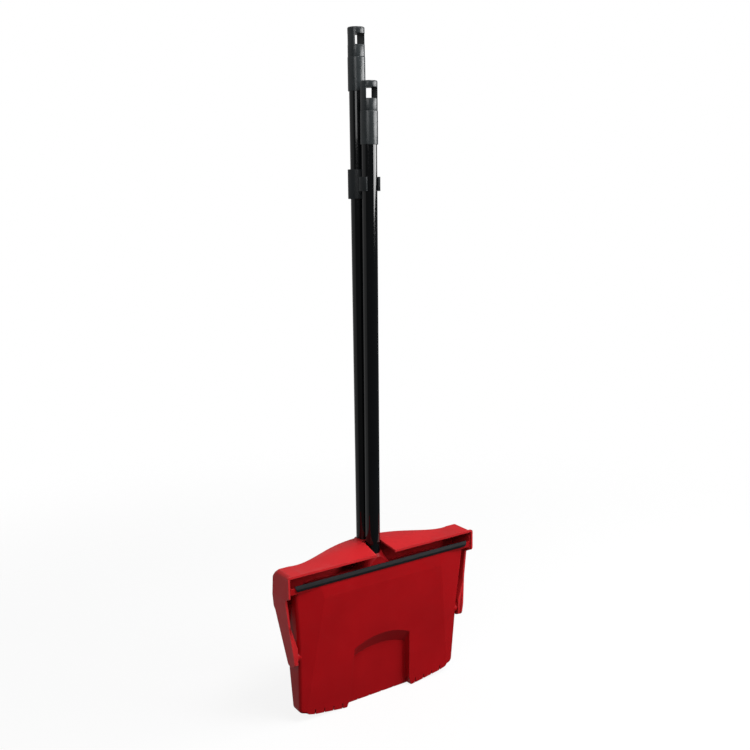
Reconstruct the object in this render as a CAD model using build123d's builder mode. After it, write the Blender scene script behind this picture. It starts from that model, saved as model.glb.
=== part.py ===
"""Long-handled dustpan with a swinging scoop, and the brush that is stored inside it.

Millimetres, +Z up, +X to the right, -Y to the front. The origin is on the ground, under the
middle of the closed set. The hood is fixed to the rear tube, the scoop hangs between the
hood's two wings with its mouth up, and the brush stands inside with its tube in the clip.
"""

import os
from math import atan2, cos, degrees, radians, sin

from build123d import *

# Tubes and grips, the same kind on both handles
TUBE_R = 10.5
TUBE_BORE = 9.7
SLEEVE_R = 11.95
GRIP_CAP_R = 11.6
GRIP_CAP_ROUND = 1.6
GRIP_LENGTH = 83.0
GRIP_SEAM = 38.6
WINDOW_TOP = 8.6
WINDOW_HEIGHT = 14.2
WINDOW_WIDTH = 18.2
GRIP_PLUG_LENGTH = 24.0
REAR_WINDOW_TURN = 12

# Dustpan handle
PAN_TUBE_Y = 21.0
PAN_TOP = 947.5
PAN_TUBE_FOOT = 201.0
PAN_BOSS_R = 14.0
BOSS_FLAT_Y = 10.6
PAN_BOSS_FOOT = 198.5

# Brush handle: it leans a little to the front
BRUSH_LEAN = 0.45
BRUSH_Z = 190.0
BRUSH_Y = PAN_TUBE_Y - 22.6
BRUSH_TOP = 876.0
BRUSH_TUBE_FOOT = 200.0
SOCKET_TOP = 219.0
SOCKET_R = 13.2

# Clip on the dustpan tube
CLIP_Z = 741.0
COLLAR_HEIGHT = 40.0
COLLAR_R = 14.1
JAW_HEIGHT = 19.0
JAW_R = 14.6
JAW_GAP = 0.3
JAW_HALF_OPENING = 50
CLIP_FACE_Y = 7.3

# Screws, all the same kind
SCREW_R = 1.7
HEAD_R = 3.4
HEAD_DEPTH = 1.8
TUBE_SCREW_Z = 214.0
CLIP_SCREW_Z = CLIP_Z

# Hood
RIM_Y = -34.4
CAP_Z = 226.3
CAP_WALL = 2.8
REAR_WALL = 2.6
CAP_FOOT = 196.0
CAP_HALF = 160.5
MIDDLE_HALF = 140.0
BULGE_HALF = 118.0
STATIONS = (0, 31, 62, 92, BULGE_HALF, MIDDLE_HALF)
END_ROUND = 6.0
RIM_HALF = 162.2
RIM_DEPTH = 3.2
RIM_OPENING_HALF = 159.3
RIM_ROUND = 3.0
KNEE_Y = -2.0
SHOULDER_DROP = 11.5
SKIRT_FOOT = 122.0
SKIRT_CUT_TOP = 172.0
SKIRT_TOP_HALF = 158.4
SKIRT_FOOT_HALF = 140.0
SKIRT_ROUND = 14.0
BACK_MID_Z = 186.0
BACK_FOOT_Y = 15.6
SLOT_BACK = 9.4
WING_FRONT = -22.0
WING_WALL = 3.0
WING_TOP = 190.0
WING_SLOPE = degrees(atan2(9.5, 87.0))

# Scoop, drawn in the plane of its floor, which leans to the front when closed
FLOOR_Y = -14.8
FLOOR_LEAN = degrees(atan2(19.7, 207.0))
MOUTH_V = 204.0
MOUTH_HALF = 148.0
SCOOP_DEPTH = 28.5
SCOOP_WALL = 2.6
SIDE_TOP_DEPTH = 11.0
POCKET_TOP = 66.0
HEEL_V = 74.0
HEEL_DEPTH = 16.0
HEEL_ROUND = 8.0
FLOOR_ROUND = 4.5
FLOOR_SIDE_X = 124.0
FIELD_SLOPE = 6.5
FIELD_HALF = 112.5
FIELD_V = 115.0
FIELD_TURN = 7.8
COMB_NOTCHES = 4
COMB_START = 66.0
COMB_PITCH = 15.6
SLIT_WIDTH = 1.6
SLIT_HEIGHT = 9.0
RIPPLES = (-33.0, -12.0, 10.0, 31.0)
RIPPLE_HEIGHT = 2.4
BLADE_HALF = 157.4
STRIP_HALF = 150.6
STRIP_HEIGHT = 7.8
RECESS_DEPTH = 9.0
RECESS_FLARE = 6.0

# Hinge of the scoop
PIVOT_Y = -15.2
PIVOT_Z = 102.0
PIN_R = 3.0
RUNNING_FIT = 0.06
PIN_START_X = 134.4
PIN_END_X = 148.6
WING_BOSS_X = 143.2
GUSSET_FRONT = 23.6
GUSSET_DEPTH = 15.0
GUSSET_FOOT = 93.0
SCOOP_BOSS_X = 142.8

# Brush head
BLOCK_HALF = 110.0
BLOCK_DEPTH = 24.0
BLOCK_SHIFT = -3.0
BLOCK_BACK_FLAT = 11.2
BLOCK_TOP = 197.0
BLOCK_FOOT = 180.0
THREAD_R = 9.4
BRISTLE_FOOT = 126.0
BRISTLE_ROWS = 4
ROW_PITCH = 5.4
ROW_DEPTH = 4.0

LEAN_COS = cos(radians(FLOOR_LEAN))
LEAN_SIN = sin(radians(FLOOR_LEAN))
FLOOR_FRONT = Plane(origin=(0, FLOOR_Y, 0), x_dir=(1, 0, 0), z_dir=(0, -LEAN_COS, -LEAN_SIN))
FLOOR_SIDE = Plane(origin=(0, FLOOR_Y, 0), x_dir=(0, LEAN_COS, LEAN_SIN), z_dir=(1, 0, 0))
BRUSH_SIN = sin(radians(BRUSH_LEAN))
BRUSH_COS = cos(radians(BRUSH_LEAN))


def brush_plane(height):
    """The plane square to the brush's axis, at this height along it."""
    along = height - BRUSH_Z
    origin = (0, BRUSH_Y - along * BRUSH_SIN, BRUSH_Z + along * BRUSH_COS)
    return Plane(origin=origin, x_dir=(1, 0, 0), z_dir=(0, -BRUSH_SIN, BRUSH_COS))


def across(x):
    """The plane at this x that is drawn in Y and Z."""
    return Plane(origin=(x, 0, 0), x_dir=(0, 1, 0), z_dir=(1, 0, 0))


def finish(part, name):
    """Labels a finished sub-part and writes it."""
    part.label = name
    export_step(part, f"parts/{name}.step")


def bulge(x):
    """How far the hood bulges back at x, from 0 at the ends to 1 in the middle."""
    share = min(1.0, abs(x) / BULGE_HALF)
    return (1 - share**2.2) ** 1.5


def hood_section(x, inset):
    """The hood's outline in Y and Z at x, moved in by the wall when inset is 1."""
    swell = bulge(x)
    rise = 1.4 + 6.8 * swell
    back_top = 3.6 + 24.6 * swell
    back_mid = 12.1 + 19.5 * swell
    roof = inset * CAP_WALL
    wall = inset * REAR_WALL
    front = RIM_Y - inset * 6
    foot = SKIRT_FOOT - inset * 10
    front_z = CAP_Z + (front - RIM_Y) * 0.94 * rise / (KNEE_Y - RIM_Y)
    return [
        (front, front_z - roof),
        (KNEE_Y, CAP_Z + 0.94 * rise - roof),
        (back_top - 3.0 - wall, CAP_Z + rise - roof),
        (back_top + 2.4 - wall, CAP_Z + rise - 3.6 - 0.7 * roof),
        (back_top + 5.8 - wall, CAP_Z + rise - SHOULDER_DROP),
        (back_mid - wall, BACK_MID_Z),
        (BACK_FOOT_Y - wall, foot),
        (front, foot),
    ]


def hood_middle(inset):
    """The bulging middle of the hood as one solid, or the room inside it."""
    left_stations = [-x for x in reversed(STATIONS[1:])]
    with BuildPart() as middle:
        for x in (*left_stations, *STATIONS):
            with BuildSketch(across(x)):
                with BuildLine():
                    Polyline(*hood_section(x, inset), close=True)
                make_face()
        loft()
    return middle.part


def hood_end(inset):
    """The straight right end of the hood as one solid, or the room inside it."""
    rear = hood_section(MIDDLE_HALF, inset)[:7]
    front, foot = rear[0][0], rear[6][1]
    shoulder = WING_FRONT - inset * 20
    with BuildPart() as end:
        with BuildSketch(across(MIDDLE_HALF)):
            with BuildLine():
                Polyline(
                    *rear,
                    (shoulder, foot),
                    (shoulder, WING_TOP),
                    (front, CAP_FOOT),
                    close=True,
                )
            make_face()
        extrude(amount=CAP_HALF - MIDDLE_HALF - inset * WING_WALL)
        if not inset:
            outer_face = end.faces().sort_by(Axis.X)[-1]
            top_edges = outer_face.edges().filter_by(lambda edge: edge.center().Z > CAP_Z - 6)
            fillet(top_edges, radius=END_ROUND)
    return end.part


def wing():
    """The right wing, which carries one hinge pin near its round lower end."""
    slope = radians(WING_SLOPE)
    outer = Plane(
        origin=(CAP_HALF, 0, WING_TOP),
        x_dir=(0, 1, 0),
        z_dir=(cos(slope), 0, -sin(slope)),
    )
    with BuildPart() as side:
        with BuildSketch(outer) as outline:
            with BuildLine():
                Polyline(
                    (WING_FRONT, 0.8),
                    (WING_FRONT, -40.0),
                    (-25.4, -82.0),
                    (-24.4, -98.0),
                    (-12.0, -103.5),
                    (-6.6, -100.0),
                    (7.0, -36.0),
                    (11.8, -12.0),
                    (11.8, 0.8),
                    close=True,
                )
            make_face()
            for along, radius in ((-103.5, 8), (-98, 6), (-100, 4), (-82, 40), (-36, 60), (-12, 30)):
                corners = outline.vertices().filter_by(lambda corner: abs(corner.Y - along) < 0.1)
                fillet(corners, radius=radius)
        extrude(amount=-WING_WALL)
        with BuildSketch(Plane.XZ.offset(GUSSET_FRONT)):
            with BuildLine():
                Polyline(
                    (154.0, 150),
                    (WING_BOSS_X, 116),
                    (WING_BOSS_X, GUSSET_FOOT),
                    (148.4, GUSSET_FOOT),
                    close=True,
                )
            make_face()
        extrude(amount=-GUSSET_DEPTH)
        with BuildSketch(across(PIN_START_X)):
            with Locations((PIVOT_Y, PIVOT_Z)):
                Circle(PIN_R)
        extrude(amount=PIN_END_X - PIN_START_X, mode=Mode.SUBTRACT)
    return side.part


def make_hood():
    """The hood: cap, rim, rear wall, wings and the socket of the dustpan's tube."""
    middle = hood_middle(0)
    middle_room = hood_middle(1)
    end = hood_end(0)
    end_room = hood_end(1)
    side = wing()
    with BuildPart() as hood:
        add(middle)
        add(end)
        add(mirror(end, about=Plane.YZ))
        with BuildSketch(Plane.XZ.offset(-RIM_Y)):
            with Locations((0, (CAP_Z + CAP_FOOT) / 2)):
                RectangleRounded(2 * RIM_HALF, CAP_Z - CAP_FOOT + 0.6, RIM_ROUND)
        extrude(amount=-RIM_DEPTH)
        with Locations((0, RIM_Y - 1, CAP_Z - CAP_WALL)):
            Box(
                2 * RIM_OPENING_HALF,
                RIM_DEPTH + 1,
                60,
                align=(Align.CENTER, Align.MIN, Align.MAX),
                mode=Mode.SUBTRACT,
            )
        add(middle_room, mode=Mode.SUBTRACT)
        add(end_room, mode=Mode.SUBTRACT)
        add(mirror(end_room, about=Plane.YZ), mode=Mode.SUBTRACT)
        for way in (-1, 1):
            with BuildSketch(Plane.XZ):
                with BuildLine():
                    FilletPolyline(
                        (way * SKIRT_TOP_HALF, SKIRT_CUT_TOP),
                        (way * SKIRT_FOOT_HALF, SKIRT_FOOT),
                        (way * 60, SKIRT_FOOT),
                        radius=SKIRT_ROUND,
                    )
                    Polyline(
                        (way * 60, SKIRT_FOOT),
                        (way * 60, SKIRT_FOOT - 10),
                        (way * 180, SKIRT_FOOT - 10),
                        (way * 180, WING_TOP),
                        (way * CAP_HALF, WING_TOP),
                        (way * SKIRT_TOP_HALF, SKIRT_CUT_TOP),
                    )
                make_face()
            extrude(amount=28, both=True, mode=Mode.SUBTRACT)
        add(side)
        add(mirror(side, about=Plane.YZ))
        with BuildSketch(Plane.XY.offset(PAN_BOSS_FOOT)):
            with Locations((0, PAN_TUBE_Y)):
                Circle(PAN_BOSS_R)
        extrude(amount=CAP_Z + 6.0 - PAN_BOSS_FOOT)
        with Locations((0, BOSS_FLAT_Y, PAN_BOSS_FOOT)):
            Box(
                2 * PAN_BOSS_R,
                2 * PAN_BOSS_R,
                CAP_Z - PAN_BOSS_FOOT - 1.0,
                align=(Align.CENTER, Align.MAX, Align.MIN),
                mode=Mode.SUBTRACT,
            )
        with BuildSketch(Plane.XY.offset(PAN_TUBE_FOOT)):
            with Locations((0, PAN_TUBE_Y)):
                Circle(TUBE_R)
        extrude(amount=100, mode=Mode.SUBTRACT)
        with BuildSketch(Plane.XY.offset(CAP_Z - 12)) as slot:
            with BuildLine():
                Polyline(
                    (-17.2, RIM_Y - 6),
                    (17.2, RIM_Y - 6),
                    (13.2, -1.0),
                    (13.2, SLOT_BACK),
                    (-13.2, SLOT_BACK),
                    (-13.2, -1.0),
                    close=True,
                )
            make_face()
            fillet(slot.vertices().group_by(Axis.Y)[-1], radius=7)
            fillet(slot.vertices().group_by(Axis.Y)[1], radius=20)
        extrude(amount=30, mode=Mode.SUBTRACT)
        with BuildSketch(Plane.XZ.offset(-PAN_TUBE_Y)):
            with Locations((0, TUBE_SCREW_Z)):
                Circle(SCREW_R)
        extrude(amount=-20, mode=Mode.SUBTRACT)
        with BuildSketch(Plane.XZ.offset(-(PAN_TUBE_Y + PAN_BOSS_R - HEAD_DEPTH))):
            with Locations((0, TUBE_SCREW_Z)):
                Circle(HEAD_R)
        extrude(amount=-10, mode=Mode.SUBTRACT)
    return hood.part


def tray(inset):
    """The scoop's outer form as one solid, or the room inside it when inset is 1."""
    wall = inset * SCOOP_WALL
    rear = SCOOP_DEPTH - wall
    with BuildPart() as form:
        with BuildSketch(FLOOR_FRONT.offset(6)) as outline:
            with BuildLine():
                half = Polyline(
                    (0, 0),
                    (60, 0),
                    (113, 7.5),
                    (137.5, 14.5),
                    (141.2, 120),
                    (MOUTH_HALF, MOUTH_V),
                    (0, MOUTH_V),
                )
                mirror(half, about=Plane.YZ)
            make_face()
            for x, radius in ((137.5, 8), (113, 60), (60, 120), (141.2, 300)):
                corners = outline.vertices().filter_by(lambda corner: abs(abs(corner.X) - x) < 0.1)
                fillet(corners, radius=radius)
            if inset:
                offset(amount=-wall)
                with Locations((0, MOUTH_V)):
                    Rectangle(2 * (MOUTH_HALF - 3.1), 12)
        extrude(amount=-60)
        with BuildSketch(FLOOR_SIDE) as side:
            with BuildLine():
                if inset:
                    Polyline(
                        (wall, wall),
                        (wall, 184),
                        (wall + 1.2, 220),
                        (60, 220),
                        (60, POCKET_TOP),
                        (rear, POCKET_TOP),
                        (HEEL_DEPTH - wall, wall),
                        close=True,
                    )
                else:
                    Polyline(
                        (0, 0),
                        (0, 184),
                        (1.2, MOUTH_V),
                        (SIDE_TOP_DEPTH, MOUTH_V),
                        (rear - 3, 140),
                        (rear, HEEL_V),
                        (HEEL_DEPTH, 0),
                        close=True,
                    )
            make_face()
            heel = side.vertices().filter_by(lambda corner: abs(corner.X - HEEL_DEPTH + wall) < 0.1)
            fillet(heel, radius=HEEL_ROUND - wall)
        extrude(amount=160, both=True, mode=Mode.INTERSECT)
        for way in (-1, 1):
            hinge_line = (
                FLOOR_FRONT.offset(-wall).location
                * Pos(way * FIELD_HALF, FIELD_V, 0)
                * Rot(0, 0, way * FIELD_TURN)
                * Rot(0, way * FIELD_SLOPE, 0)
            )
            side_align = Align.MIN if way > 0 else Align.MAX
            with Locations(hinge_line):
                Box(80, 420, 20, align=(side_align, Align.CENTER, Align.MIN), mode=Mode.SUBTRACT)
        if not inset:
            fillet(form.edges().filter_by(on_floor_side), radius=FLOOR_ROUND)
    return form.part


def on_floor_side(edge):
    """Whether an edge of the scoop's form runs between its floor and one of its sides."""
    spot = FLOOR_FRONT.to_local_coords(edge.center())
    return abs(spot.X) > FLOOR_SIDE_X and -5 < spot.Z < 0.1 and spot.Y < MOUTH_V - 5


def recess(grow, near, far):
    """The arched hollow under the scoop's heel, or the hump inside that backs it."""
    with BuildPart() as hollow:
        foot_v = -4 * (1 - grow / SCOOP_WALL)
        for depth, foot_half, top_half, shoulder_v, crown_v in (
            (near, 54.0, 49.5, 93.0, 105.0),
            (far, 52.5, 47.0, 72.0, 82.0),
        ):
            with BuildSketch(FLOOR_FRONT.offset(-depth)):
                with BuildLine():
                    Polyline(
                        (-top_half - grow, shoulder_v + grow),
                        (-foot_half - grow, 2 * RECESS_FLARE),
                        (-foot_half - grow - RECESS_FLARE, foot_v),
                        (foot_half + grow + RECESS_FLARE, foot_v),
                        (foot_half + grow, 2 * RECESS_FLARE),
                        (top_half + grow, shoulder_v + grow),
                    )
                    ThreePointArc(
                        (top_half + grow, shoulder_v + grow),
                        (0, crown_v + grow),
                        (-top_half - grow, shoulder_v + grow),
                    )
                make_face()
        loft(ruled=True)
    return hollow.part


def make_scoop():
    """The scoop: floor, side walls, heel pocket, hinge bosses, mouth blade and comb notches."""
    outer = tray(0)
    room = tray(1)
    hump = recess(SCOOP_WALL, 0.6, RECESS_DEPTH + SCOOP_WALL)
    hollow = recess(0, -1.0, RECESS_DEPTH)
    with BuildPart() as scoop:
        add(outer)
        add(room, mode=Mode.SUBTRACT)
        add(hump)
        add(hollow, mode=Mode.SUBTRACT)
        with BuildSketch(FLOOR_SIDE.offset(-BLADE_HALF)):
            with Locations((2.6, MOUTH_V + 1.0)):
                Rectangle(1.4, 9.0)
        extrude(amount=2 * BLADE_HALF)
        for way in (-1, 1):
            with BuildSketch(across(way * SCOOP_BOSS_X)):
                with Locations((PIVOT_Y, PIVOT_Z)):
                    Circle(7)
            extrude(amount=-way * 6.5)
            with BuildSketch(across(way * SCOOP_BOSS_X)):
                with Locations((PIVOT_Y, PIVOT_Z)):
                    Circle(PIN_R + RUNNING_FIT)
            extrude(amount=-way * 12, mode=Mode.SUBTRACT)
            for step in range(COMB_NOTCHES):
                notch_x = way * (COMB_START + step * COMB_PITCH)
                notch_v = 0.0022 * max(0.0, abs(notch_x) - 60) ** 2
                with BuildSketch(FLOOR_FRONT.offset(1)):
                    with Locations((notch_x, notch_v)):
                        Rectangle(SLIT_WIDTH, 2 * SLIT_HEIGHT)
                extrude(amount=-4.0, mode=Mode.SUBTRACT)
        for ripple_x in RIPPLES:
            with BuildSketch(FLOOR_FRONT.offset(-RECESS_DEPTH + 1)):
                with Locations((ripple_x, 0)):
                    Rectangle(SLIT_WIDTH, 2 * RIPPLE_HEIGHT)
            extrude(amount=-2.0, mode=Mode.SUBTRACT)
    return scoop.part


def make_strip():
    """The rubber lip that closes the scoop's mouth: a channel pushed over the blade."""
    with BuildPart() as strip:
        with BuildSketch(FLOOR_SIDE.offset(-STRIP_HALF)):
            with BuildLine():
                Polyline(
                    (0.0, MOUTH_V),
                    (0.0, MOUTH_V + 3.6),
                    (1.8, MOUTH_V + STRIP_HEIGHT),
                    (3.4, MOUTH_V + STRIP_HEIGHT),
                    (5.4, MOUTH_V + 3.6),
                    (5.4, MOUTH_V),
                    close=True,
                )
            make_face()
            with Locations((2.6, MOUTH_V + 2.75)):
                Rectangle(1.4, 5.5, mode=Mode.SUBTRACT)
        extrude(amount=2 * STRIP_HALF)
        for way in (-1, 1):
            with BuildSketch(FLOOR_FRONT.offset(4)):
                with BuildLine():
                    Polyline(
                        (way * STRIP_HALF, MOUTH_V + 6),
                        (way * (STRIP_HALF - 3.5), MOUTH_V - 1),
                        (way * (STRIP_HALF + 4), MOUTH_V - 1),
                        close=True,
                    )
                make_face()
            extrude(amount=-14, mode=Mode.SUBTRACT)
    return strip.part


def make_pivot_pin():
    """The right hinge pin: its head is inside the scoop and its end is fast in the wing."""
    with BuildPart() as pin:
        with BuildSketch(across(PIN_START_X)):
            with Locations((PIVOT_Y, PIVOT_Z)):
                Circle(PIN_R)
        extrude(amount=PIN_END_X - PIN_START_X)
        with BuildSketch(across(PIN_START_X - 1.6)):
            with Locations((PIVOT_Y, PIVOT_Z)):
                Circle(4.2)
        extrude(amount=1.6)
        fillet(pin.faces().sort_by(Axis.X)[0].edges(), radius=0.7)
    return pin.part


def ring_between(plane, length, outer_r, inner_r):
    """A plain sleeve that stands on this plane."""
    with BuildPart() as ring:
        with BuildSketch(plane):
            Circle(outer_r)
            Circle(inner_r, mode=Mode.SUBTRACT)
        extrude(amount=length)
    return ring.part


def pan_plane(height):
    """The plane square to the dustpan's tube, at this height."""
    return Plane.XY.offset(height).shift_origin((0, PAN_TUBE_Y, height))


def make_pan_tube():
    """The dustpan's steel tube, with the hole of the screw that holds it in the hood."""
    length = PAN_TOP - GRIP_SEAM - PAN_TUBE_FOOT
    with BuildPart() as tube:
        add(ring_between(pan_plane(PAN_TUBE_FOOT), length, TUBE_R, TUBE_BORE))
        for height in (TUBE_SCREW_Z, CLIP_SCREW_Z):
            with BuildSketch(Plane.XZ.offset(-PAN_TUBE_Y)):
                with Locations((0, height)):
                    Circle(SCREW_R)
            extrude(amount=-20, mode=Mode.SUBTRACT)
    return tube.part


def make_sleeve(plane):
    """The lower half of a grip, pushed over the top of its tube."""
    with BuildPart() as sleeve:
        add(ring_between(plane, GRIP_LENGTH - GRIP_SEAM, SLEEVE_R, TUBE_R))
        outer_edges = sleeve.edges().filter_by(GeomType.CIRCLE)
        fillet(outer_edges.filter_by(lambda edge: edge.radius > TUBE_R + 0.5), radius=0.6)
    return sleeve.part


def make_grip_cap(plane, turn):
    """The upper half of a grip: a plug in the tube and a window to hang it by."""
    length = GRIP_SEAM
    with BuildPart() as cap:
        with BuildSketch(plane):
            Circle(GRIP_CAP_R)
        extrude(amount=length)
        fillet(cap.edges().filter_by(GeomType.CIRCLE).sort_by(Axis.Z)[-1], radius=GRIP_CAP_ROUND)
        with BuildSketch(plane):
            Circle(TUBE_BORE)
            Circle(TUBE_BORE - 2.0, mode=Mode.SUBTRACT)
        extrude(amount=-GRIP_PLUG_LENGTH)
        window = plane.rotated((0, 0, turn)).offset(length - WINDOW_TOP - WINDOW_HEIGHT)
        with BuildSketch(window):
            Rectangle(WINDOW_WIDTH, 4 * GRIP_CAP_R)
        extrude(amount=WINDOW_HEIGHT, mode=Mode.SUBTRACT)
    return cap.part


def make_clip_collar():
    """The collar of the clip, which is screwed to the dustpan's tube."""
    with BuildPart() as collar:
        foot = CLIP_Z - COLLAR_HEIGHT / 2
        add(ring_between(pan_plane(foot), COLLAR_HEIGHT, COLLAR_R, TUBE_R))
        outer_edges = collar.edges().filter_by(GeomType.CIRCLE)
        fillet(outer_edges.filter_by(lambda edge: edge.radius > TUBE_R + 0.5), radius=0.8)
        with Locations((0, CLIP_FACE_Y, CLIP_Z)):
            Box(40, 20, 60, align=(Align.CENTER, Align.MAX, Align.CENTER), mode=Mode.SUBTRACT)
        with BuildSketch(Plane.XZ.offset(-PAN_TUBE_Y)):
            with Locations((0, CLIP_SCREW_Z)):
                Circle(SCREW_R)
        extrude(amount=-20, mode=Mode.SUBTRACT)
        with BuildSketch(Plane.XZ.offset(-(PAN_TUBE_Y + COLLAR_R - HEAD_DEPTH))):
            with Locations((0, CLIP_SCREW_Z)):
                Circle(HEAD_R)
        extrude(amount=-10, mode=Mode.SUBTRACT)
    return collar.part


def make_clip_jaws():
    """The open ring of the clip that the brush's tube snaps into."""
    with BuildPart() as jaws:
        plane = brush_plane(CLIP_Z - JAW_HEIGHT / 2)
        add(ring_between(plane, JAW_HEIGHT, JAW_R, TUBE_R + JAW_GAP))
        with BuildSketch(plane.offset(-5)):
            with BuildLine():
                side_reach = 40 * sin(radians(JAW_HALF_OPENING))
                front_reach = 40 * cos(radians(JAW_HALF_OPENING))
                Polyline(
                    (0, 0),
                    (side_reach, -front_reach),
                    (-side_reach, -front_reach),
                    close=True,
                )
            make_face()
        extrude(amount=JAW_HEIGHT + 10, mode=Mode.SUBTRACT)
        upright_edges = jaws.edges().filter_by(lambda edge: edge.length > JAW_HEIGHT - 1)
        fillet(upright_edges.filter_by(lambda edge: edge.center().Y < BRUSH_Y - 8), radius=1.2)
        with Locations((0, CLIP_FACE_Y, CLIP_Z)):
            Box(40, 20, 60, align=(Align.CENTER, Align.MIN, Align.CENTER), mode=Mode.SUBTRACT)
    return jaws.part


def screw(head_y, height, length):
    """A screw that goes in from the back, with its head's outer face at head_y."""
    with BuildPart() as fastener:
        with BuildSketch(Plane.XZ.offset(-head_y)):
            with Locations((0, height)):
                Circle(HEAD_R)
        extrude(amount=HEAD_DEPTH)
        with BuildSketch(Plane.XZ.offset(-head_y)):
            with Locations((0, height)):
                Circle(SCREW_R)
        extrude(amount=length)
        with Locations((0, head_y, height)):
            Box(3.6, 1.2, 0.8, mode=Mode.SUBTRACT)
            Box(0.8, 1.2, 3.6, mode=Mode.SUBTRACT)
    return fastener.part


def make_tube_plug():
    """The plastic plug in the foot of the dustpan's tube, which its screw bites into."""
    with BuildPart() as plug:
        with BuildSketch(pan_plane(PAN_TUBE_FOOT)):
            Circle(TUBE_BORE)
        extrude(amount=30)
        chamfer(plug.edges().sort_by(Axis.Z)[-1], length=1.2)
        with BuildSketch(Plane.XZ.offset(-PAN_TUBE_Y)):
            with Locations((0, TUBE_SCREW_Z)):
                Circle(SCREW_R)
        extrude(amount=-20, mode=Mode.SUBTRACT)
    return plug.part


def make_brush_block():
    """The brush's body: a long block with the flared socket of its tube."""
    with BuildPart() as block:
        with BuildSketch(brush_plane(BLOCK_FOOT)):
            with Locations((0, BLOCK_SHIFT)):
                RectangleRounded(2 * BLOCK_HALF, BLOCK_DEPTH, 9)
        extrude(amount=BLOCK_TOP - BLOCK_FOOT)
        fillet(block.faces().sort_by(Axis.Z)[-1].edges(), radius=4)
        socket_foot = brush_plane(BLOCK_TOP).origin
        with BuildSketch(
            Plane(origin=socket_foot, x_dir=(1, 0, 0), z_dir=(0, -BRUSH_COS, -BRUSH_SIN))
        ):
            with BuildLine():
                flare = Spline(
                    (33.0, -0.6), (23.4, 6.0), (18.2, 12.8), (SOCKET_R, SOCKET_TOP - BLOCK_TOP)
                )
                Polyline(
                    flare @ 1,
                    (0, SOCKET_TOP - BLOCK_TOP),
                    (0, -4.0),
                    (33.0, -4.0),
                    flare @ 0,
                )
            make_face()
        revolve(axis=Axis(origin=socket_foot, direction=(0, -BRUSH_SIN, BRUSH_COS)))
        for face_y, side in (
            (BLOCK_SHIFT - BLOCK_DEPTH / 2, Align.MAX),
            (BLOCK_BACK_FLAT, Align.MIN),
        ):
            with Locations(brush_plane(BLOCK_FOOT).location * Pos(0, face_y, 0)):
                Box(90, 40, 60, align=(Align.CENTER, side, Align.MIN), mode=Mode.SUBTRACT)
        with BuildSketch(brush_plane(BRUSH_TUBE_FOOT)):
            Circle(TUBE_R)
        extrude(amount=40, mode=Mode.SUBTRACT)
        with BuildSketch(brush_plane(BLOCK_FOOT + 3)):
            Circle(THREAD_R)
        extrude(amount=40, mode=Mode.SUBTRACT)
    return block.part


def make_bristle_row(row):
    """The room that one row of bristle tufts takes up, which spreads a little downwards."""
    across_block = BLOCK_SHIFT + (row - (BRISTLE_ROWS - 1) / 2) * ROW_PITCH
    length = BLOCK_FOOT - BRISTLE_FOOT
    with BuildPart() as slab:
        plane = brush_plane(BLOCK_FOOT)
        front = Plane(origin=plane.origin, x_dir=(1, 0, 0), z_dir=(0, -BRUSH_COS, -BRUSH_SIN))
        with BuildSketch(front.offset(-across_block - ROW_DEPTH / 2)):
            with BuildLine():
                Polyline(
                    (-BLOCK_HALF + 4, 0),
                    (-BLOCK_HALF - 5, -length),
                    (BLOCK_HALF + 5, -length),
                    (BLOCK_HALF - 4, 0),
                    close=True,
                )
            make_face()
        extrude(amount=ROW_DEPTH)
    return slab.part


def make_brush_ferrule():
    """The threaded end of the brush's tube, which screws into the block."""
    with BuildPart() as ferrule:
        with BuildSketch(brush_plane(BLOCK_FOOT + 4)):
            Circle(THREAD_R)
        extrude(amount=BRUSH_TUBE_FOOT - BLOCK_FOOT - 4)
        with BuildSketch(brush_plane(BRUSH_TUBE_FOOT)):
            Circle(TUBE_BORE)
        extrude(amount=26)
    return ferrule.part


if __name__ == "__main__":
    os.makedirs("parts", exist_ok=True)
    finish(make_hood(), "pan_hood")
    finish(make_scoop(), "scoop")
    finish(make_strip(), "lip_strip")
    pin = make_pivot_pin()
    finish(pin, "pivot_pin_right")
    finish(mirror(pin, about=Plane.YZ), "pivot_pin_left")
    finish(make_pan_tube(), "dustpan_tube")
    finish(make_tube_plug(), "dustpan_tube_plug")
    finish(screw(PAN_TUBE_Y + PAN_BOSS_R, TUBE_SCREW_Z, 13), "tube_screw")
    finish(make_sleeve(pan_plane(PAN_TOP - GRIP_LENGTH)), "dustpan_grip_sleeve")
    finish(make_grip_cap(pan_plane(PAN_TOP - GRIP_SEAM), REAR_WINDOW_TURN), "dustpan_grip_cap")
    finish(make_clip_collar(), "clip_collar")
    finish(make_clip_jaws(), "clip_jaws")
    finish(screw(PAN_TUBE_Y + COLLAR_R, CLIP_SCREW_Z, 8), "clip_screw")
    finish(make_brush_block(), "brush_block")
    for row in range(BRISTLE_ROWS):
        finish(make_bristle_row(row), f"bristle_row_{row + 1}")
    finish(make_brush_ferrule(), "brush_ferrule")
    brush_tube_length = BRUSH_TOP - GRIP_SEAM - BRUSH_TUBE_FOOT
    brush_tube = ring_between(brush_plane(BRUSH_TUBE_FOOT), brush_tube_length, TUBE_R, TUBE_BORE)
    finish(brush_tube, "brush_tube")
    finish(make_sleeve(brush_plane(BRUSH_TOP - GRIP_LENGTH)), "brush_grip_sleeve")
    finish(make_grip_cap(brush_plane(BRUSH_TOP - GRIP_SEAM), 0), "brush_grip_cap")
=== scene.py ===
"""The looks of a long-handled dustpan and brush set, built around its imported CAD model."""

import random
from math import cos, pi, radians, sin

import bpy
from mathutils import Matrix, Quaternion, Vector


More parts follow.
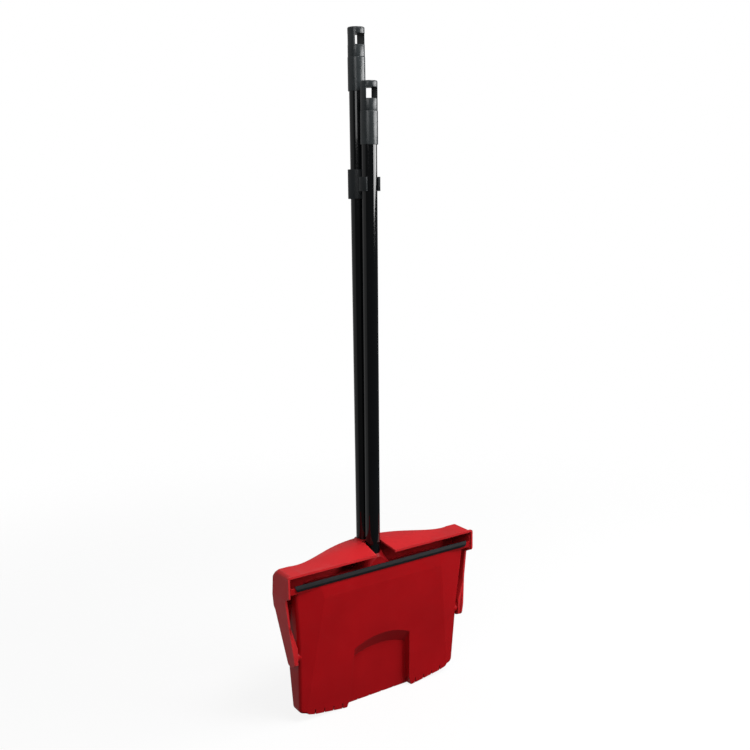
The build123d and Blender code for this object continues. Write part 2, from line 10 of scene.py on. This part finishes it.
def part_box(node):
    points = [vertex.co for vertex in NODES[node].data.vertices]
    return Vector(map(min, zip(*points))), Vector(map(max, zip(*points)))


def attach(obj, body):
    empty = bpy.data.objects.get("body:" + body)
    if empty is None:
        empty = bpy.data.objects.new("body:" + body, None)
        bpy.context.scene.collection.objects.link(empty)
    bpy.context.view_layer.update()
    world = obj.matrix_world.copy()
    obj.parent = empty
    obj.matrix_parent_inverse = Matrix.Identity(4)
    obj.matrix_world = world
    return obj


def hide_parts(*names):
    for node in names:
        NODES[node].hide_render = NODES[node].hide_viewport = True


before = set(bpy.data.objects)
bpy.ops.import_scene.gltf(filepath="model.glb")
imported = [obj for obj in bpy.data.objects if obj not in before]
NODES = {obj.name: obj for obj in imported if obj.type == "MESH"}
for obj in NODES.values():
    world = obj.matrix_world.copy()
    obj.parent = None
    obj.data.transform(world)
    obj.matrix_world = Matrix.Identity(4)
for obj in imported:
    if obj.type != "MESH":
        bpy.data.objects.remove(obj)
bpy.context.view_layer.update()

# Camera, in metres and degrees
CAMERA_PLACE = Vector((-0.8339, -1.1724, 0.7390))
CAMERA_AZIMUTH = -35.72
CAMERA_PITCH = 10.30
CAMERA_ROLL = -0.73
CAMERA_LENS = 50.07
CAMERA_SENSOR = 36
CAMERA_NEAR = 0.01
CAMERA_FAR = 50

# Stage, in metres; the room's and the wall's glow are radiances
FLOOR_RADIUS = 3.0
FLOOR_SIDES = 96
FLOOR_FADE_START = 0.45
FLOOR_FADE_END = 1.6
FLOOR_GLOW = 0.87
PALE = (0.86, 0.86, 0.86)
ROOM_GLOW = 0.20
ROOM_LOW_SHARE = 0.45
ROOM_FULL_HEIGHT = 0.9
WALL_DIRECTION = (-0.41, 0.91, 0)
WALL_FADE_START = 0.42
WALL_FADE_END = 0.60
WALL_GLOW = 0.33

# Lights: place, target and size in metres, power in watts, roll in degrees
HANDLES = (0, 0, 0.7)
PAN = (0, 0, 0.2)
KEY_PLACE = (1.345, -0.968, 0.97)
KEY_SIZE = (1.75, 0.58)
KEY_POWER = 31
KEY_ROLL = 6
LEFT_PLACE = (-1.44, -1.18, 1.36)
LEFT_SIZE = (0.9, 1.0)
LEFT_POWER = 9
HIGH_PLACE = (0.3, -1.25, 2.45)
HIGH_SIZE = (1.2, 0.8)
HIGH_POWER = 42

# Colours, linear
HOOD_RED = (0.53, 0.016, 0.020)
# The scoop's red is set darker than the hood's red, though both are the same plastic: painted shade for
# the scoop's front panel, which falls in less light
SCOOP_RED_WITH_PAINTED_SHADE = (0.39, 0.0035, 0.0065)
BRUSH_RED = (0.33, 0.005, 0.008)
RUBBER_BLACK = (0.006, 0.0065, 0.0075)
COAT_BLACK = (0.0012, 0.0018, 0.0024)
GRIP_GREY = (0.028, 0.033, 0.035)
CLIP_BLACK = (0.006, 0.009, 0.011)
PLUG_BLACK = (0.03, 0.03, 0.032)
STEEL = (0.58, 0.58, 0.56)
BRISTLE_BLACK = (0.016, 0.016, 0.018)

# CAD nodes: metres and degrees
WELD_DISTANCE = 0.00001
FLAT_ANGLE = 0.6
EDGE_ANGLE = 32

# Brush filaments, in metres; shares and powers have no unit
TUFT_PITCH = 0.0056
TUFT_RADIUS = 0.0016
TUFT_FLATNESS = 0.6
TUFT_ROOT = 0.0005
FILAMENTS_PER_TUFT = 28
FILAMENT_RADIUS = 0.00017
FILAMENT_TAPER = 0.35
FILAMENT_STEPS = 7
FILAMENT_SHORTEST = 0.0022
ROW_SEED = 40
ROW_FAN = 0.009
ROW_FAN_MARGIN = 0.0015
FLARE_X = 0.8
FLARE_Y = 0.7
FLARE_Y_LIMIT = 0.0014
FLARE_CURVE = 1.2
SCATTER_X = 0.0006
SCATTER_Y = 0.0004
DRIFT_Y = 0.0004
CRIMP_DEPTH = 0.00022
CRIMP_TURN = 9


# Stage, camera and lights


def aim(thing, place, target, roll):
    """Stands a light at place, points it at target and rolls it by some degrees."""
    thing.location = place
    turn = (Vector(target) - Vector(place)).to_track_quat("-Z", "Y")
    thing.rotation_euler = (turn @ Quaternion((0, 0, 1), radians(roll))).to_euler()


def make_camera():
    """The camera, from its azimuth, pitch and roll."""
    a, e, roll = radians(CAMERA_AZIMUTH), radians(CAMERA_PITCH), radians(CAMERA_ROLL)
    forward = Vector((-sin(a) * cos(e), cos(a) * cos(e), -sin(e)))
    level = Vector((cos(a), sin(a), 0))
    up = level.cross(forward)
    across = cos(roll) * level + sin(roll) * up
    upright = -sin(roll) * level + cos(roll) * up
    turn = Matrix((across, upright, -forward)).transposed()
    data = bpy.data.cameras.new("camera")
    data.lens = CAMERA_LENS
    data.sensor_width = CAMERA_SENSOR
    data.clip_start = CAMERA_NEAR
    data.clip_end = CAMERA_FAR
    camera = bpy.data.objects.new("camera", data)
    camera.matrix_world = Matrix.Translation(CAMERA_PLACE) @ turn.to_4x4()
    bpy.context.scene.collection.objects.link(camera)
    bpy.context.scene.camera = camera


def make_softbox(name, place, target, size, power, roll=0):
    """A rectangular studio light that the camera doesn't see."""
    data = bpy.data.lights.new(name, "AREA")
    data.shape = "RECTANGLE"
    data.size, data.size_y = size
    data.energy = power
    light = bpy.data.objects.new(name, data)
    bpy.context.scene.collection.objects.link(light)
    aim(light, place, target, roll)
    light.visible_camera = False


def make_world():
    """A pale backdrop for the eye, and a dim room, lighter overhead and at the back left."""
    world = bpy.data.worlds.new("studio")
    bpy.context.scene.world = world
    world.use_nodes = True
    nodes, links = world.node_tree.nodes, world.node_tree.links
    nodes.clear()
    output = nodes.new("ShaderNodeOutputWorld")
    mix = nodes.new("ShaderNodeMixShader")
    backdrop = nodes.new("ShaderNodeBackground")
    backdrop.inputs["Color"].default_value = (1, 1, 1, 1)
    room = nodes.new("ShaderNodeBackground")
    room.inputs["Strength"].default_value = ROOM_GLOW
    wall = nodes.new("ShaderNodeBackground")
    both = nodes.new("ShaderNodeAddShader")
    coordinate = nodes.new("ShaderNodeTexCoord")
    towards = nodes.new("ShaderNodeVectorMath")
    towards.operation = "DOT_PRODUCT"
    towards.inputs[1].default_value = WALL_DIRECTION
    glow = nodes.new("ShaderNodeMapRange")
    glow.interpolation_type = "SMOOTHSTEP"
    glow.inputs["From Min"].default_value = WALL_FADE_START
    glow.inputs["From Max"].default_value = WALL_FADE_END
    glow.inputs["To Max"].default_value = WALL_GLOW
    height = nodes.new("ShaderNodeSeparateXYZ")
    ramp = nodes.new("ShaderNodeValToRGB")
    ramp.color_ramp.elements[0].position = 0.0
    ramp.color_ramp.elements[0].color = (ROOM_LOW_SHARE, ROOM_LOW_SHARE, ROOM_LOW_SHARE, 1)
    ramp.color_ramp.elements[1].position = ROOM_FULL_HEIGHT
    ramp.color_ramp.elements[1].color = (1, 1, 1, 1)
    rays = nodes.new("ShaderNodeLightPath")
    links.new(coordinate.outputs["Generated"], height.inputs[0])
    links.new(height.outputs["Z"], ramp.inputs[0])
    links.new(ramp.outputs["Color"], room.inputs["Color"])
    links.new(coordinate.outputs["Generated"], towards.inputs[0])
    links.new(towards.outputs["Value"], glow.inputs["Value"])
    links.new(glow.outputs["Result"], wall.inputs["Strength"])
    links.new(room.outputs[0], both.inputs[0])
    links.new(wall.outputs[0], both.inputs[1])
    links.new(rays.outputs["Is Camera Ray"], mix.inputs[0])
    links.new(both.outputs[0], mix.inputs[1])
    links.new(backdrop.outputs[0], mix.inputs[2])
    links.new(mix.outputs[0], output.inputs["Surface"])


def make_floor():
    """A round pale floor whose edge fades into the backdrop."""
    bpy.ops.mesh.primitive_circle_add(vertices=FLOOR_SIDES, radius=FLOOR_RADIUS, fill_type="NGON")
    floor = bpy.context.object
    floor.name = "floor"
    material = bpy.data.materials.new("floor")
    material.use_nodes = True
    nodes, links = material.node_tree.nodes, material.node_tree.links
    nodes.clear()
    output = nodes.new("ShaderNodeOutputMaterial")
    mix = nodes.new("ShaderNodeMixShader")
    clear = nodes.new("ShaderNodeBsdfTransparent")
    paper = nodes.new("ShaderNodeMixShader")
    paper.inputs[0].default_value = FLOOR_GLOW
    shaded = nodes.new("ShaderNodeBsdfDiffuse")
    shaded.inputs["Color"].default_value = (*PALE, 1)
    glow = nodes.new("ShaderNodeEmission")
    links.new(shaded.outputs[0], paper.inputs[1])
    links.new(glow.outputs[0], paper.inputs[2])
    coordinate = nodes.new("ShaderNodeTexCoord")
    distance = nodes.new("ShaderNodeVectorMath")
    distance.operation = "LENGTH"
    fade = nodes.new("ShaderNodeMapRange")
    fade.interpolation_type = "SMOOTHERSTEP"
    fade.inputs["From Min"].default_value = FLOOR_FADE_START
    fade.inputs["From Max"].default_value = FLOOR_FADE_END
    links.new(coordinate.outputs["Object"], distance.inputs[0])
    links.new(distance.outputs["Value"], fade.inputs["Value"])
    links.new(fade.outputs["Result"], mix.inputs[0])
    links.new(paper.outputs[0], mix.inputs[1])
    links.new(clear.outputs[0], mix.inputs[2])
    links.new(mix.outputs[0], output.inputs["Surface"])
    floor.data.materials.append(material)
    floor.visible_diffuse = False
    floor.visible_glossy = False


def make_lights():
    """A long low box on the right that the tubes mirror, one on the left, and one above."""
    make_softbox("key_right", KEY_PLACE, HANDLES, KEY_SIZE, KEY_POWER, roll=KEY_ROLL)
    make_softbox("left_front", LEFT_PLACE, HANDLES, LEFT_SIZE, LEFT_POWER)
    make_softbox("front_high", HIGH_PLACE, PAN, HIGH_SIZE, HIGH_POWER)


# Materials


class Look:
    """A Principled material with the helpers that the finishes share."""

    def __init__(self, name):
        self.material = bpy.data.materials.new(name)
        self.material.use_nodes = True
        self.tree = self.material.node_tree
        self.shader = self.tree.nodes["Principled BSDF"]
        self.place = self.tree.nodes.new("ShaderNodeTexCoord").outputs["Object"]

    def node(self, kind, **values):
        made = self.tree.nodes.new(kind)
        for name, value in values.items():
            setattr(made, name, value)
        return made

    def join(self, source, target):
        self.tree.links.new(source, target)

    def set(self, name, value):
        self.shader.inputs[name].default_value = value

    def stretched(self, scale):
        """Object coordinates multiplied by a scale for each axis."""
        mapping = self.node("ShaderNodeMapping")
        mapping.inputs["Scale"].default_value = scale
        self.join(self.place, mapping.inputs["Vector"])
        return mapping.outputs["Vector"]

    def noise(self, scale, detail=3.0, roughness=0.55, place=None):
        made = self.node("ShaderNodeTexNoise")
        made.inputs["Scale"].default_value = scale
        made.inputs["Detail"].default_value = detail
        made.inputs["Roughness"].default_value = roughness
        self.join(place or self.place, made.inputs["Vector"])
        return made.outputs["Fac"]

    def remap(self, value, low, high, to_low, to_high):
        made = self.node("ShaderNodeMapRange")
        for name, number in (
            ("From Min", low),
            ("From Max", high),
            ("To Min", to_low),
            ("To Max", to_high),
        ):
            made.inputs[name].default_value = number
        self.join(value, made.inputs["Value"])
        return made.outputs["Result"]

    def blend(self, share, first, second):
        """Two colours, each a socket or a triple, mixed by a share socket."""
        made = self.node("ShaderNodeMix", data_type="RGBA")
        self.join(share, made.inputs["Factor"])
        for slot, colour in ((6, first), (7, second)):
            if isinstance(colour, tuple):
                made.inputs[slot].default_value = (*colour, 1)
            else:
                self.join(colour, made.inputs[slot])
        return made.outputs[2]

    def total(self, first, second, operation="ADD"):
        """The sum, or another result of arithmetic, of two sockets or numbers."""
        made = self.node("ShaderNodeMath", operation=operation)
        for slot, value in enumerate((first, second)):
            if isinstance(value, (int, float)):
                made.inputs[slot].default_value = value
            else:
                self.join(value, made.inputs[slot])
        return made.outputs[0]

    def edge_wear(self, radius, low=0.02, high=0.25):
        """How near a point is to a sharp edge: 0 away from it, 1 on it."""
        rounded = self.node("ShaderNodeBevel", samples=6)
        rounded.inputs["Radius"].default_value = radius
        plain = self.node("ShaderNodeNewGeometry")
        facing = self.node("ShaderNodeVectorMath", operation="DOT_PRODUCT")
        self.join(rounded.outputs["Normal"], facing.inputs[0])
        self.join(plain.outputs["Normal"], facing.inputs[1])
        turned = self.total(1.0, facing.outputs["Value"], "SUBTRACT")
        return self.remap(turned, low, high, 0.0, 1.0)

    def bump(self, layers):
        """Chains bumps of (height socket, depth in metres, strength)."""
        normal = None
        for height, depth, strength in layers:
            made = self.node("ShaderNodeBump")
            made.inputs["Strength"].default_value = strength
            made.inputs["Distance"].default_value = depth
            self.join(height, made.inputs["Height"])
            if normal is not None:
                self.join(normal, made.inputs["Normal"])
            normal = made.outputs["Normal"]
        self.join(normal, self.shader.inputs["Normal"])


def shade(colour, factor):
    """A colour made lighter or darker."""
    return tuple(min(1.0, channel * factor) for channel in colour)


def red_plastic(name, colour, roughness):
    """Moulded polypropylene: soft sheen, flow marks, fine grain, hairline scuffs, pale edges."""
    look = Look(name)
    flow = look.noise(14, detail=4)
    drift = look.remap(flow, 0.3, 0.7, 0.0, 1.0)
    body = look.blend(drift, shade(colour, 0.90), shade(colour, 1.08))
    speck = look.remap(look.noise(900, detail=2), 0.62, 0.75, 0.0, 0.35)
    body = look.blend(speck, body, shade(colour, 0.72))
    scuff_noise = look.noise(1.0, detail=5, roughness=0.7, place=look.stretched((55, 55, 900)))
    scuff = look.remap(scuff_noise, 0.63, 0.72, 0.0, 1.0)
    patch = look.remap(look.noise(22, detail=2), 0.48, 0.66, 0.0, 0.5)
    scuffed = look.total(scuff, patch, "MULTIPLY")
    pale = tuple(0.72 * channel + 0.12 for channel in colour)
    body = look.blend(look.total(scuffed, 0.35, "MULTIPLY"), body, pale)
    worn = look.edge_wear(0.0011)
    break_up = look.remap(look.noise(160, detail=3), 0.35, 0.65, 0.15, 0.9)
    edge = look.total(look.total(worn, break_up, "MULTIPLY"), 0.42, "MULTIPLY")
    body = look.blend(edge, body, pale)
    look.join(body, look.shader.inputs["Base Color"])
    matt = look.remap(look.noise(60, detail=5), 0.3, 0.7, roughness - 0.05, roughness + 0.07)
    look.join(look.total(matt, look.total(scuffed, 0.22, "MULTIPLY")), look.shader.inputs["Roughness"])
    look.set("IOR", 1.49)
    look.set("Specular IOR Level", 0.22)
    look.bump(
        (
            (look.noise(34, detail=2), 0.00035, 0.25),
            (look.noise(1500, detail=2), 0.000035, 0.55),
            (scuffed, 0.00004, 0.5),
        )
    )
    return look.material


def coated_steel(name, colour):
    """Gloss black coat on a steel tube: orange peel, faint drawn lines, rub marks, dust."""
    look = Look(name)
    along = look.noise(1.0, detail=4, place=look.stretched((700, 700, 6)))
    haze = look.remap(look.noise(18, detail=4), 0.42, 0.7, 0.0, 0.35)
    dust = look.remap(look.noise(1600, detail=1), 0.70, 0.76, 0.0, 0.5)
    body = look.blend(haze, colour, shade(colour, 1.7))
    body = look.blend(look.total(dust, 0.25, "MULTIPLY"), body, (0.09, 0.09, 0.09))
    look.join(body, look.shader.inputs["Base Color"])
    drawn = look.remap(along, 0.3, 0.7, 0.05, 0.09)
    look.join(look.total(drawn, look.total(haze, 0.12, "MULTIPLY")), look.shader.inputs["Roughness"])
    look.bump(
        (
            (look.noise(420, detail=2), 0.000006, 0.3),
            (along, 0.000003, 0.3),
        )
    )
    return look.material


def grained_plastic(name, colour, roughness, grain=1400):
    """Dark satin plastic with spark-eroded grain and greyer, polished edges."""
    look = Look(name)
    drift = look.remap(look.noise(40, detail=3), 0.3, 0.7, 0.0, 1.0)
    body = look.blend(drift, shade(colour, 0.85), shade(colour, 1.15))
    pits = look.noise(grain, detail=3, roughness=0.6)
    body = look.blend(look.remap(pits, 0.5, 0.72, 0.0, 0.5), body, shade(colour, 1.6))
    worn = look.total(look.edge_wear(0.0009), 0.5, "MULTIPLY")
    body = look.blend(worn, body, shade(colour, 2.6))
    look.join(body, look.shader.inputs["Base Color"])
    matt = look.remap(look.noise(90, detail=4), 0.3, 0.7, roughness - 0.06, roughness + 0.07)
    look.join(look.total(matt, look.total(worn, -0.12, "MULTIPLY")), look.shader.inputs["Roughness"])
    look.set("Specular IOR Level", 0.4)
    look.bump(((pits, 0.00009, 0.6), (look.noise(60, detail=2), 0.0002, 0.15)))
    return look.material


def rubber(name, colour):
    """Matt rubber extrusion with fine lines along it and a bloom of dust."""
    look = Look(name)
    lines = look.noise(1.0, detail=3, place=look.stretched((9, 900, 900)))
    bloom = look.remap(look.noise(70, detail=5), 0.45, 0.75, 0.0, 0.6)
    body = look.blend(bloom, colour, shade(colour, 2.2))
    look.join(body, look.shader.inputs["Base Color"])
    look.join(look.remap(lines, 0.3, 0.7, 0.45, 0.62), look.shader.inputs["Roughness"])
    look.set("Specular IOR Level", 0.18)
    look.bump(((lines, 0.00006, 0.5), (look.noise(1300, detail=2), 0.00004, 0.4)))
    return look.material


def plated_steel(name, colour):
    """Zinc-plated steel with small stains and a roughness that varies from place to place."""
    look = Look(name)
    stain = look.remap(look.noise(260, detail=4), 0.4, 0.7, 0.0, 1.0)
    body = look.blend(stain, colour, shade(colour, 0.62))
    look.join(body, look.shader.inputs["Base Color"])
    look.set("Metallic", 1.0)
    look.join(look.remap(look.noise(500, detail=3), 0.3, 0.7, 0.24, 0.42), look.shader.inputs["Roughness"])
    look.bump(((look.noise(1800, detail=2), 0.00003, 0.4),))
    return look.material


def filament(name, colour):
    """Nylon bristle: dark, a little glossy, uneven from strand to strand."""
    look = Look(name)
    strand = look.noise(1.0, detail=1, place=look.stretched((1500, 1500, 20)))
    body = look.blend(look.remap(strand, 0.35, 0.65, 0.0, 1.0), shade(colour, 0.7), shade(colour, 2.0))
    look.join(body, look.shader.inputs["Base Color"])
    look.join(look.remap(strand, 0.3, 0.7, 0.32, 0.5), look.shader.inputs["Roughness"])
    look.bump(((look.noise(4000, detail=1), 0.00002, 0.3),))
    return look.material


# CAD nodes

def refine(name, material, width):
    """Gives a CAD node its material, and rounds its sharp edges."""
    node = NODES[name]
    node.data.materials.clear()
    node.data.materials.append(material)
    weld = node.modifiers.new("weld", "WELD")
    weld.merge_threshold = WELD_DISTANCE
    flat = node.modifiers.new("flat", "DECIMATE")
    flat.decimate_type = "DISSOLVE"
    flat.angle_limit = radians(FLAT_ANGLE)
    if width:
        bevel = node.modifiers.new("edges", "BEVEL")
        bevel.width = width
        bevel.segments = 3
        bevel.limit_method = "ANGLE"
        bevel.angle_limit = radians(EDGE_ANGLE)
        bevel.use_clamp_overlap = True
        bevel.harden_normals = False
        bevel.miter_outer = "MITER_ARC"
    return node


def finish_nodes():
    """Assigns every CAD node that stays in view its finish."""
    hood = red_plastic("red_hood", HOOD_RED, 0.36)
    # The scoop's material takes the darker red, which paints shade on the front panel
    scoop = red_plastic("red_scoop", SCOOP_RED_WITH_PAINTED_SHADE, 0.38)
    brush = red_plastic("red_brush", BRUSH_RED, 0.40)
    coat = coated_steel("tube_coat", COAT_BLACK)
    grip = grained_plastic("grip_plastic", GRIP_GREY, 0.27)
    clip = grained_plastic("clip_plastic", CLIP_BLACK, 0.50)
    plug = grained_plastic("plug_plastic", PLUG_BLACK, 0.55, grain=900)
    lip = rubber("lip_rubber", RUBBER_BLACK)
    steel = plated_steel("plated_steel", STEEL)
    for name, material, width in (
        ("pan_hood", hood, 0.0007),
        ("scoop", scoop, 0.0007),
        ("lip_strip", lip, 0.0003),
        ("brush_block", brush, 0.0006),
        ("dustpan_tube", coat, 0),
        ("brush_tube", coat, 0),
        ("dustpan_grip_sleeve", grip, 0),
        ("brush_grip_sleeve", grip, 0),
        ("dustpan_grip_cap", grip, 0.0005),
        ("brush_grip_cap", grip, 0.0005),
        ("clip_collar", clip, 0.0004),
        ("clip_jaws", clip, 0.0004),
        ("dustpan_tube_plug", plug, 0),
        ("brush_ferrule", plug, 0),
        ("pivot_pin_left", steel, 0),
        ("pivot_pin_right", steel, 0),
        ("tube_screw", steel, 0.00015),
        ("clip_screw", steel, 0.00015),
    ):
        refine(name, material, width)


# Bristles


def make_filament(points, radius, vertices, faces):
    """Adds one three-sided strand through the points."""
    start = len(vertices)
    for number, point in enumerate(points):
        taper = radius * (1 - FILAMENT_TAPER * number / (len(points) - 1))
        for side in range(3):
            turn = 2 * pi * side / 3
            vertices.append(point + Vector((taper * cos(turn), taper * sin(turn), 0)))
    for number in range(len(points) - 1):
        low = start + 3 * number
        for side in range(3):
            after = (side + 1) % 3
            faces.append((low + side, low + after, low + 3 + after, low + 3 + side))
    last = start + 3 * (len(points) - 1)
    faces.append((last, last + 1, last + 2))
    faces.append((start + 2, start + 1, start))


def make_bristles(row, material):
    """One row of tufts in place of its CAD slab, half a pitch off from the rows beside it."""
    node = f"bristle_row_{row}"
    low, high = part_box(node)
    rng = random.Random(ROW_SEED + row)
    top_z = high.z + TUFT_ROOT
    half = (high.x - low.x) / 2 - ROW_FAN
    count = int(2 * half / TUFT_PITCH)
    middle_y = (low.y + high.y) / 2
    first = 0.75 if row % 2 else 0.25
    vertices, faces = [], []
    for tuft in range(count):
        root_x = -half + 2 * half * (tuft + first) / count
        lean = root_x / half * (ROW_FAN - ROW_FAN_MARGIN)
        for _ in range(FILAMENTS_PER_TUFT):
            away = TUFT_RADIUS * rng.random() ** 0.5
            turn = rng.uniform(0, 2 * pi)
            along, across = away * cos(turn), away * sin(turn)
            root = Vector((root_x + along, middle_y + TUFT_FLATNESS * across, top_z))
            flare_x = lean + FLARE_X * along + rng.gauss(0, SCATTER_X)
            flare_y = FLARE_Y * across + rng.gauss(0, SCATTER_Y)
            flare_y = max(-FLARE_Y_LIMIT, min(FLARE_Y_LIMIT, flare_y))
            length = top_z - low.z - rng.uniform(0.0, FILAMENT_SHORTEST)
            wave = rng.uniform(0, 2 * pi)
            points = []
            for step in range(FILAMENT_STEPS):
                share = step / (FILAMENT_STEPS - 1)
                crimp = CRIMP_DEPTH * sin(wave + CRIMP_TURN * share)
                bend_x = flare_x * share**FLARE_CURVE + crimp
                bend_y = (flare_y + DRIFT_Y) * share + crimp
                points.append(root + Vector((bend_x, bend_y, -length * share)))
            make_filament(points, FILAMENT_RADIUS, vertices, faces)
    mesh = bpy.data.meshes.new(f"filaments_row_{row}")
    mesh.from_pydata([tuple(vertex) for vertex in vertices], [], faces)
    mesh.update()
    mesh.shade_smooth()
    mesh.materials.append(material)
    tufts = bpy.data.objects.new(f"filaments_row_{row}", mesh)
    bpy.context.scene.collection.objects.link(tufts)
    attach(tufts, "brush")
    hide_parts(node)


make_camera()
make_world()
make_floor()
make_lights()
finish_nodes()
nylon = filament("bristle_nylon", BRISTLE_BLACK)
for row in range(1, 5):
    make_bristles(row, nylon)
bpy.context.scene.view_settings.view_transform = "Standard"
